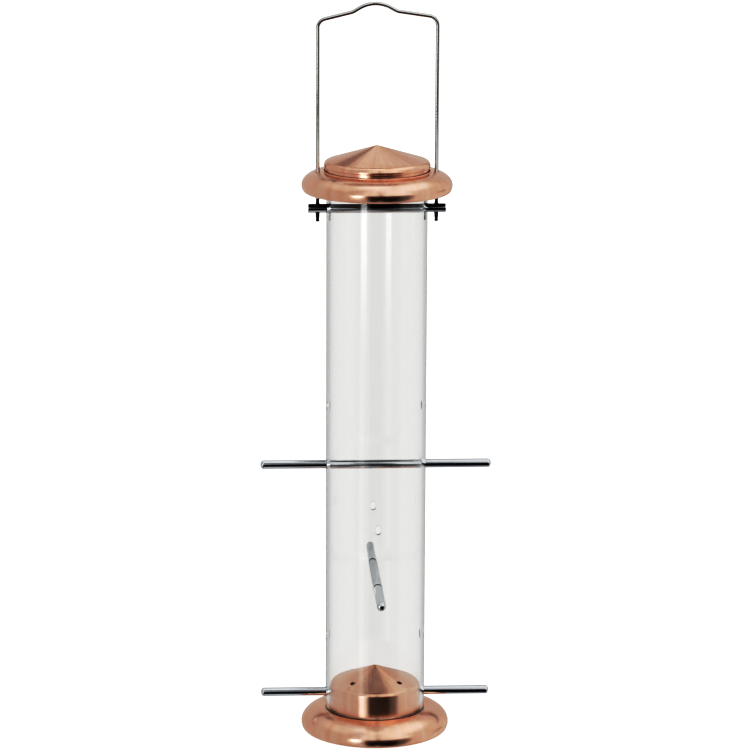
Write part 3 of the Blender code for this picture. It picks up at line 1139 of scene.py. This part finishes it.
# ---- Handle -----------------------------------------------------------------------------------
@dataclass
class Handle:
    """Bent wire handle: two legs through the crossbar, sloping shoulders and a hump for a hook."""

    wire: Material
    dark_metal: Material
    radius: float = WIRE_RADIUS
    leg_end: float = span("handle_wire", Axis.Z)[0]
    bar_top: float = span("crossbar", Axis.Z)[1]
    # how far above the crossbar the dark steel on the legs reaches
    dark_reach: float = 0.0030
    left_corner: Point = (-LEG_OFFSET, 0.4319)
    left_bend: Point = (-0.0146, 0.4369)
    crest: Point = (-0.0016, 0.4447)
    right_bend: Point = (0.0116, 0.4373)
    right_corner: Point = (LEG_OFFSET, 0.4338)
    corner_radius: float = 0.0055
    shallow_radius: float = 0.0080
    crest_radius: float = 0.0184
    crimp: Point = (0.0010, 0.0019)        # half widths of a crimp, in the handle's plane and across it
    crimp_under: Point = (0.0010, 0.0022)  # reach of the lower crimp, above the leg's end
    crimp_over: Point = (0.0010, 0.0024)   # reach of the upper crimp, above the crossbar
    crimp_run: float = 0.0006              # length over which the wire goes from round to flat
    end_rounding: float = 0.0004
    end_flat: float = 0.55                 # radius of the leg's end face over the wire's
    segments: int = 32
    bend_step: float = 3.0

    def bend(self, before: Point, corner: Point, after: Point, radius: float) -> list[Vector]:
        """Round one corner of the path.

        Args:
            before: corner before it.
            corner: the corner itself.
            after: corner after it.
            radius: radius of the bend, to the middle of the wire.

        Returns:
            Points along the bend.
        """
        arriving = (Vector(corner) - Vector(before)).normalized()
        leaving = (Vector(after) - Vector(corner)).normalized()
        turn = arriving.angle_signed(leaving)
        start = Vector(corner) - arriving * radius * math.tan(abs(turn) / 2.0)
        side = Vector((-arriving.y, arriving.x)) * (-1.0 if turn > 0.0 else 1.0)
        centre = start + side * radius
        steps = max(4, round(abs(math.degrees(turn)) / self.bend_step))
        points = []
        for step in range(steps + 1):
            spoke = start - centre
            spoke.rotate(Matrix.Rotation(-turn * step / steps, 2))
            points.append(centre + spoke)
        return points

    def leg(self, offset: float) -> list[Station]:
        """List one leg from its end upwards, with a rounded end and a crimp on each side of the bar.

        Args:
            offset: x of the leg.

        Returns:
            Stations of the leg.
        """
        stations = []
        for share in (0.05, 0.35, 0.65, 0.9):
            swell = (1.0 - self.end_flat) * math.sqrt(1.0 - (1.0 - share) ** 2)
            width = self.radius * (self.end_flat + swell)
            height = self.leg_end + self.end_rounding * share
            stations.append((Vector((offset, height)), width, width))
        stations[0][0].y = self.leg_end
        for foot, (low, high) in ((self.leg_end, self.crimp_under), (self.bar_top, self.crimp_over)):
            stations += self.crimped(offset, foot + low, foot + high)
        return stations

    def crimped(self, offset: float, low: float, high: float) -> list[Station]:
        """List the stations of one crimp, where pliers have squeezed the wire flat.

        Args:
            offset: x of the leg.
            low: lower end of the flat.
            high: upper end of the flat.

        Returns:
            Stations from below the crimp to above it.
        """
        run, steps = self.crimp_run, 6
        stations = []
        for start, end, rising in ((low - run, low, True), (high, high + run, False)):
            for step in range(steps + 1):
                share = step / steps
                blend = share if rising else 1.0 - share
                blend = blend * blend * (3.0 - 2.0 * blend)
                narrow = self.radius + (self.crimp[0] - self.radius) * blend
                wide = self.radius + (self.crimp[1] - self.radius) * blend
                stations.append((Vector((offset, start + (end - start) * share)), narrow, wide))
        return stations

    def build(self) -> Piece:
        """Make the wire as one swept mesh with a lengthwise UV map in metres.

        Returns:
            The finished piece.
        """
        corners = [
            (-LEG_OFFSET, self.leg_end),
            self.left_corner,
            self.left_bend,
            self.crest,
            self.right_bend,
            self.right_corner,
            (LEG_OFFSET, self.leg_end),
        ]
        radii = [
            self.corner_radius,
            self.shallow_radius,
            self.crest_radius,
            self.shallow_radius,
            self.corner_radius,
        ]
        stations = self.leg(-LEG_OFFSET)
        for index, radius in enumerate(radii):
            for point in self.bend(*corners[index : index + 3], radius):
                stations.append((point, self.radius, self.radius))
        stations += reversed(self.leg(LEG_OFFSET))
        piece = self.sweep(stations)
        dress(piece, self.wire, Body.FEEDER, "handle_wire")
        # The legs, from their ends to just above the crossbar, are painted in the dark steel.
        paint_where(piece, self.dark_metal, lambda face: face.center.z < self.bar_top + self.dark_reach)
        return piece

    def sweep(self, stations: Sequence[Station]) -> Piece:
        """Sweep the wire's section along its stations in the XZ plane.

        Args:
            stations: the wire's stations in order.

        Returns:
            The wire's mesh object.
        """
        mesh = bmesh.new()
        layer = mesh.loops.layers.uv.new(WIRE_UV)
        rings, lengths, travelled = [], [], 0.0
        for index, (point, in_plane, across) in enumerate(stations):
            earlier = stations[max(index - 1, 0)][0]
            later = stations[min(index + 1, len(stations) - 1)][0]
            travelled += (point - earlier).length
            lengths.append(travelled)
            along = (later - earlier).normalized()
            normal = Vector((-along.y, 0.0, along.x))
            ring = []
            for side in range(self.segments):
                angle = 2.0 * math.pi * side / self.segments
                spot = Vector((point.x, 0.0, point.y)) + normal * in_plane * math.cos(angle)
                spot.y += across * math.sin(angle)
                ring.append(mesh.verts.new(spot))
            rings.append(ring)
        girth = 2.0 * math.pi * self.radius / self.segments
        for index in range(len(rings) - 1):
            for side in range(self.segments):
                beside = (side + 1) % self.segments
                face = mesh.faces.new(
                    (
                        rings[index][side],
                        rings[index][beside],
                        rings[index + 1][beside],
                        rings[index + 1][side],
                    )
                )
                spots = ((index, side), (index, side + 1), (index + 1, side + 1), (index + 1, side))
                for loop, (station, turn) in zip(face.loops, spots):
                    loop[layer].uv = (lengths[station], turn * girth)
        mesh.faces.new(rings[0])
        mesh.faces.new(rings[-1])
        return finish_mesh("handle_plated_wire", mesh)


# ---- Studio -----------------------------------------------------------------------------------
@dataclass(frozen=True)
class Card:
    """One soft-edged light or dark card in the studio, seen only in reflections.

    Azimuth 0 is the camera's side and 90 is +X; all angles are in degrees.
    """

    azimuth: float
    half_width: float
    elevation: float
    half_height: float
    soft: float
    brightness: float


@dataclass
class Studio:
    """Pale floor, soft studio light and the camera.

    The cards are listed from the back: each one covers those before it where they overlap. To the eye
    the surroundings are white; only reflections and rays through the tube see them otherwise.
    """

    cards: tuple[Card, ...] = (
        Card(180.0, 80.0, 10.0, 60.0, 20.0, 0.50),   # wall behind
        Card(184.0, 14.0, 39.0, 11.0, 5.0, 0.80),    # bright panel high behind
        Card(180.0, 40.0, 62.0, 13.0, 6.0, 0.22),    # dark band above that panel
        Card(95.0, 45.0, 10.0, 60.0, 20.0, 0.60),    # wall to the right
        Card(-4.0, 22.0, 32.0, 42.0, 10.0, 0.78),    # tall panel in front
        Card(36.0, 18.0, 32.0, 42.0, 12.0, 0.92),    # tall panel in front, to the right
        Card(105.0, 50.0, 62.0, 18.0, 16.0, 0.98),   # wide panel high on the right
        Card(-105.0, 50.0, 62.0, 18.0, 16.0, 0.64),  # wide panel high on the left
        Card(0.0, 180.0, 90.0, 20.0, 6.0, 0.82),     # ceiling
        Card(-169.0, 5.0, 35.0, 7.0, 4.0, 0.05),     # small dark flag high behind, on the left
        Card(112.0, 12.0, -7.0, 3.0, 3.0, 0.25),     # small dark flag low on the right
        Card(42.0, 12.0, -36.0, 42.0, 18.0, 0.15),   # dark floor in front, to the right
        Card(8.0, 27.0, -36.0, 42.0, 6.0, 0.02),     # darker floor in front
        Card(0.0, 180.0, -90.0, 28.0, 6.0, 0.45),    # floor below
        Card(180.0, 60.0, 82.0, 6.0, 3.0, 1.35),     # bright strip across the ceiling, behind
        Card(3.1, 2.2, 72.0, 10.0, 1.0, 1.35),       # upright strip in front: its bright top
        Card(3.1, 2.2, 38.0, 26.0, 1.0, 0.32),       # its dim middle
        Card(3.1, 2.2, -15.0, 29.0, 1.0, 0.02),      # its black part, across the horizon
        Card(3.1, 2.2, -68.0, 24.0, 1.0, 0.58),      # its grey foot
        Card(-36.0, 6.0, -20.0, 8.0, 3.0, 1.0),      # low lamp in front, on the left
        Card(-33.0, 7.0, -5.0, 6.5, 3.0, 3.4),       # bright lamp above it
    )
    contrast: tuple[Point, ...] = (
        (0.0, 0.0),
        (0.10, 0.018),
        (0.20, 0.070),
        (0.25, 0.110),
        (0.31, 0.185),
        (0.45, 0.42),
        (0.55, 0.56),
        (0.70, 0.72),
        (0.85, 0.86),
        (1.0, 1.0),
    )
    side_brightness: float = 0.50   # of the surroundings where no card stands
    through_glass: float = 0.90     # brightness of the surroundings seen through the tube
    glass_veil: float = 0.06        # haze added to what lights a piece seen through the tube
    azimuth: float = -3.101
    elevation: float = 12.889
    roll: float = 0.2553
    distance: float = 2.2
    focal_mm: float = 177.2
    aim_right: float = -0.00102
    aim_height: float = 0.21987
    floor_reach: float = 12.0
    softbox_place: tuple[float, float, float] = (-0.4, 0.3, 1.8)
    softbox_side: float = 1.6
    softbox_watts: float = 8.0

    def world(self) -> None:
        """Set a world that is white to the eye and a studio of soft cards to reflections."""
        world = bpy.data.worlds.new("studio")
        world.use_nodes = True
        tree = world.node_tree
        tree.nodes.clear()
        direction = add_node(tree, "TexCoord").outputs["Generated"]
        parts = add_node(tree, "SeparateXYZ", {0: direction}).outputs
        forward = add_node(tree, "Math", {0: parts[1], 1: -1.0}, operation="MULTIPLY")
        azimuth = add_node(tree, "Math", {0: parts[0], 1: forward}, operation="ARCTAN2")
        elevation = add_node(tree, "Math", {0: parts[2]}, operation="ARCSINE")
        light: Any = self.side_brightness
        for card in self.cards:
            shape = self.window(tree, azimuth, card.azimuth, card.half_width, card.soft)
            tall = self.window(tree, elevation, card.elevation, card.half_height, card.soft)
            both = add_node(tree, "Math", {0: shape, 1: tall}, operation="MULTIPLY")
            light = add_node(tree, "Mix", {0: both, 2: light, 3: card.brightness}, data_type="FLOAT")
        path = add_node(tree, "LightPath").outputs
        bounced = add_node(
            tree, "Math", {0: path["Glossy Depth"], 1: path["Diffuse Depth"]}, operation="ADD"
        )
        seen = add_node(tree, "Math", {0: bounced, 1: 0.5}, operation="LESS_THAN")
        glazed = add_node(
            tree, "Math", {0: path["Transmission Depth"], 1: 0.5}, operation="GREATER_THAN"
        )
        backdrop = add_node(tree, "Mix", {0: glazed, 2: 1.0, 3: self.through_glass}, data_type="FLOAT")
        veil = add_node(tree, "Math", {0: glazed, 1: self.glass_veil}, operation="MULTIPLY")
        light = add_node(tree, "Math", {0: light, 1: veil}, operation="ADD")
        strength = add_node(tree, "Mix", {0: seen, 2: light, 3: backdrop}, data_type="FLOAT")
        glow = add_node(tree, "Background", {"Color": (1.0, 1.0, 1.0, 1.0), "Strength": strength})
        add_node(tree, "OutputWorld", {"Surface": glow})
        bpy.context.scene.world = world

    def window(self, tree: Tree, angle: Any, middle: float, half: float, soft: float) -> Any:
        """Make a soft-edged window along one angle.

        Args:
            tree: the world's tree.
            angle: feeds the angle in radians.
            middle: middle of the window in degrees.
            half: half its width in degrees.
            soft: width of its soft edge in degrees.

        Returns:
            Node that is 1 inside the window and 0 outside.
        """
        away = add_node(tree, "Math", {0: angle, 1: math.radians(middle)}, operation="SUBTRACT")
        wrapped = add_node(tree, "Math", {0: away, 1: math.pi, 2: -math.pi}, operation="WRAP")
        size = add_node(tree, "Math", {0: wrapped}, operation="ABSOLUTE")
        return add_node(
            tree,
            "MapRange",
            {
                "Value": size,
                "From Min": math.radians(half + soft / 2.0),
                "From Max": math.radians(half - soft / 2.0),
                "To Min": 0.0,
                "To Max": 1.0,
            },
            interpolation_type="SMOOTHSTEP",
        )

    def floor(self) -> None:
        """Lay the plain pale floor: a matt white sheet that runs out of sight."""
        mesh = bmesh.new()
        bmesh.ops.create_grid(mesh, x_segments=4, y_segments=4, size=self.floor_reach)
        sheet = finish_mesh("floor_white_card", mesh)
        sheet.data.materials.append(WhiteCard().make())
        sheet.visible_glossy = False
        sheet.visible_transmission = False

    def camera(self) -> None:
        """Set up the camera, a little to the left, a little above, and level to a quarter degree."""
        turn = Matrix.Rotation(math.radians(self.azimuth), 3, "Z")
        tilt = math.radians(self.elevation)
        ahead = turn @ Vector((0.0, math.cos(tilt), -math.sin(tilt)))
        right = turn @ Vector((1.0, 0.0, 0.0))
        up = right.cross(ahead)
        aim = right * self.aim_right + Vector((0.0, 0.0, self.aim_height))
        lean = math.radians(self.roll)
        across = right * math.cos(lean) + up * math.sin(lean)
        upward = up * math.cos(lean) - right * math.sin(lean)
        data = bpy.data.cameras.new("camera")
        data.lens = self.focal_mm
        data.sensor_width = 36.0
        data.clip_start, data.clip_end = 0.05, 60.0
        camera = bpy.data.objects.new("camera", data)
        bpy.context.scene.collection.objects.link(camera)
        pose = Matrix((across, upward, -ahead)).transposed().to_4x4()
        pose.translation = aim - ahead * self.distance
        camera.matrix_world = pose
        bpy.context.scene.camera = camera

    def softbox(self) -> None:
        """Hang one large soft light from above that only shades the floor."""
        data = bpy.data.lights.new("softbox", "AREA")
        data.shape, data.size, data.size_y = "RECTANGLE", self.softbox_side, self.softbox_side
        data.energy = self.softbox_watts
        lamp = bpy.data.objects.new("softbox", data)
        bpy.context.scene.collection.objects.link(lamp)
        lamp.location = self.softbox_place
        lamp.rotation_euler = Vector(self.softbox_place).to_track_quat("Z", "Y").to_euler()
        lamp.visible_camera = False
        lamp.visible_glossy = False
        lamp.visible_transmission = False

    def build(self) -> None:
        """Set the world, floor, light and camera, and give the picture its contrast."""
        self.world()
        self.floor()
        self.softbox()
        self.camera()
        self.develop()

    def develop(self) -> None:
        """Give the picture a studio print's contrast: deep shadows and clean whites."""
        view = bpy.context.scene.view_settings
        view.view_transform = "Standard"
        view.use_curve_mapping = True
        combined = view.curve_mapping.curves[3]
        combined.points[0].location = self.contrast[0]
        combined.points[1].location = self.contrast[-1]
        for spot in self.contrast[1:-1]:
            combined.points.new(*spot)
        view.curve_mapping.update()


# ---- Assembly ---------------------------------------------------------------------------------
def report(piece: Piece) -> None:
    """Log one piece's name and face count.

    Args:
        piece: the piece.
    """
    LOG.info("%-22s %6d faces", piece.name, len(piece.data.polygons))


def main() -> None:
    """Build the feeder's looks around the frame."""
    logging.basicConfig(level=logging.INFO, format="%(name)s: %(message)s")
    copper = SpunCopper().make()
    chrome = ChromedRod().make()
    wire = ChromedWire().make()
    clear = ClearPolycarbonate().make()
    cut_edge = ClearPolycarbonate("polycarbonate_cut_edge", roughness=0.14).make()
    disc = SpunDisc()
    # Dark bare copper for the hollows and undersides: its darkness is painted shade.
    inside = DarkMetal("copper_bare_painted_shade", "4A3128", 0.42, 9.0).make()
    # Dark grey steel for the handle's legs, up to just above the crossbar.
    dark_leg_steel = DarkMetal("steel_dark_legs", "4A4C4F", 0.34, 1.5).make()

    base = Base(disc, copper, inside)
    report(base.tray())
    report(base.cup())
    report(SeedTube(clear, cut_edge).build())
    rods = Rods(chrome)
    report(rods.perch("perch_base", "base_perch", Lay.LEFT_TO_RIGHT, Body.BASE_PERCH))
    report(rods.perch("perch_middle", "middle_perch", Lay.FRONT_TO_BACK, Body.FEEDER))
    report(rods.perch("perch_upper", "upper_perch", Lay.LEFT_TO_RIGHT, Body.FEEDER))
    report(rods.crossbar())
    report(Handle(wire, dark_leg_steel).build())
    lid = Lid(disc, copper, inside)
    report(lid.brim())
    report(lid.cap())
    Studio().build()


if __name__ == "__main__":
    main()
